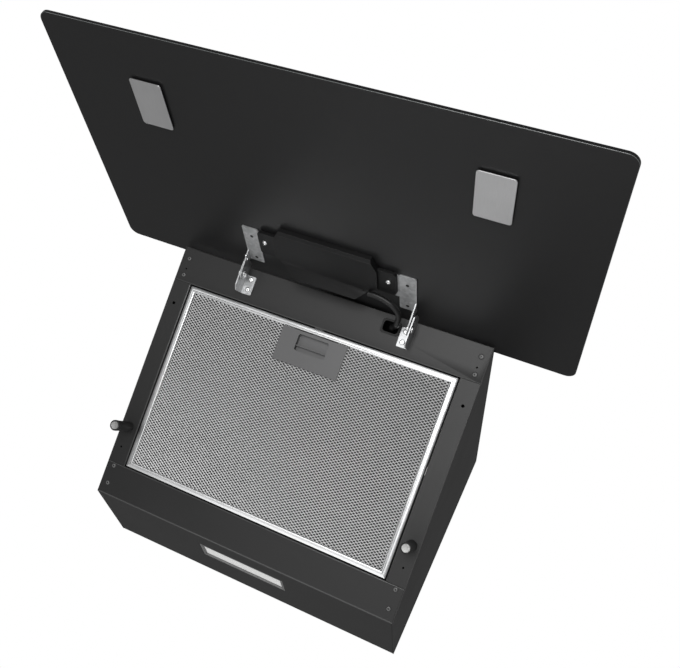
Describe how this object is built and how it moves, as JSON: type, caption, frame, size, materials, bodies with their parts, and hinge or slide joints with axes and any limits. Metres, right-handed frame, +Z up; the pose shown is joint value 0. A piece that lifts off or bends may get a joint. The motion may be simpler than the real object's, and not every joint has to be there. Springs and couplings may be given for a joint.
{
  "type": "range hood",
  "caption": "Slanted range hood with an opening black glass panel, latched mesh filter, light, blower and round duct outlet.",
  "frame": {"origin": "middle of the back panel's outer face, which lies flat on the wall", "axes": "+X to the right as seen from the front, +Y into the wall, +Z up; the slanted front faces -Y and down"},
  "size_m": [0.6, 0.622, 0.3403],
  "materials": {
    "black_steel": "fine-textured satin black powder coat",
    "rubber": "moulded black rubber",
    "magnet": "nickel-plated",
    "zinc_steel": "galvanised sheet, satin",
    "bright_steel": "bright zinc-plated",
    "foam": "black adhesive foam",
    "black_plastic": "moulded, fine grain",
    "grey_plastic": "moulded, satin",
    "diffuser": "frosted translucent",
    "board": "green solder mask",
    "black_glass": "opaque black tempered glass, polished",
    "cable": "grey-black jacket",
    "filter_aluminium": "bright rolled"
  },
  "bodies": {
    "hood": {"side_panel_left": "black_steel", "side_panel_right": "black_steel", "back_panel": "black_steel", "top_panel": "black_steel", "top_rail": "black_steel", "sill_panel": "black_steel", "post_left": "rubber", "post_right": "rubber", "magnet_left": "magnet", "magnet_right": "magnet", "post_nut_left": "zinc_steel", "post_nut_right": "zinc_steel", "lower_bracket_left": "zinc_steel", "lower_bracket_right": "zinc_steel", "hinge_pin_left": "bright_steel", "hinge_pin_right": "bright_steel", "bracket_screw_upper_left": "bright_steel", "bracket_screw_upper_right": "bright_steel", "bracket_screw_lower_left": "bright_steel", "bracket_screw_lower_right": "bright_steel", "led_bezel": "grey_plastic", "led_lens": "diffuser", "led_board": "board", "cable_grommet": "rubber", "outlet_collar": "black_plastic", "damper_rod": "bright_steel", "blower_scroll": "black_plastic", "motor": "bright_steel", "motor_bracket": "zinc_steel", "control_box": "black_plastic", "box_lid": "black_plastic", "power_board": "board", "capacitor": "grey_plastic", "mains_gland": "black_plastic"},
    "glass": {"glass_panel": "black_glass", "control_housing": "black_plastic", "touch_board": "board", "control_cable": "cable", "strike_pad_left": "foam", "strike_pad_right": "foam", "strike_plate_left": "zinc_steel", "strike_plate_right": "zinc_steel", "upper_bracket_left": "zinc_steel", "upper_bracket_right": "zinc_steel", "ear_screw_left": "bright_steel", "ear_screw_right": "bright_steel"},
    "filter": {"filter_frame": "filter_aluminium", "filter_mesh_front": "filter_aluminium", "filter_mesh_core": "filter_aluminium", "filter_mesh_back": "filter_aluminium", "latch_plate": "grey_plastic"},
    "latch": {"latch_slider": "grey_plastic", "latch_spring": "bright_steel"},
    "fan": {"impeller": "black_plastic", "motor_shaft": "bright_steel"},
    "damper_front": {"damper_flap_front": "black_plastic"},
    "damper_rear": {"damper_flap_rear": "black_plastic"}
  },
  "joints": [
    {"name": "glass_hinge", "type": "hinge", "parent": "hood", "child": "glass", "pos_m": [0, -0.29823, 0.12994], "axis": [-1, 0, 0], "range_deg": [-115.9, 0], "deforming": ["control_cable"]},
    {"name": "filter_tilt", "type": "hinge", "parent": "hood", "child": "filter", "pos_m": [0, -0.14913, -0.11021], "axis": [1, 0, 0], "range_deg": [0, 35]},
    {"name": "latch_slide", "type": "slide", "parent": "filter", "child": "latch", "axis": [0, 0.4707, -0.8823], "range_m": [0, 0.005], "stiffness_N_per_m": 400, "springref_m": -0.005, "deforming": ["latch_spring"]},
    {"name": "fan_spin", "type": "hinge", "parent": "hood", "child": "fan", "pos_m": [0, -0.105, 0.041], "axis": [1, 0, 0], "continuous": true},
    {"name": "damper_front_swing", "type": "hinge", "parent": "hood", "child": "damper_front", "pos_m": [0, -0.152, 0.165], "axis": [-1, 0, 0], "range_deg": [0, 75]},
    {"name": "damper_rear_swing", "type": "hinge", "parent": "hood", "child": "damper_rear", "pos_m": [0, -0.152, 0.165], "axis": [1, 0, 0], "range_deg": [0, 75]}
  ]
}
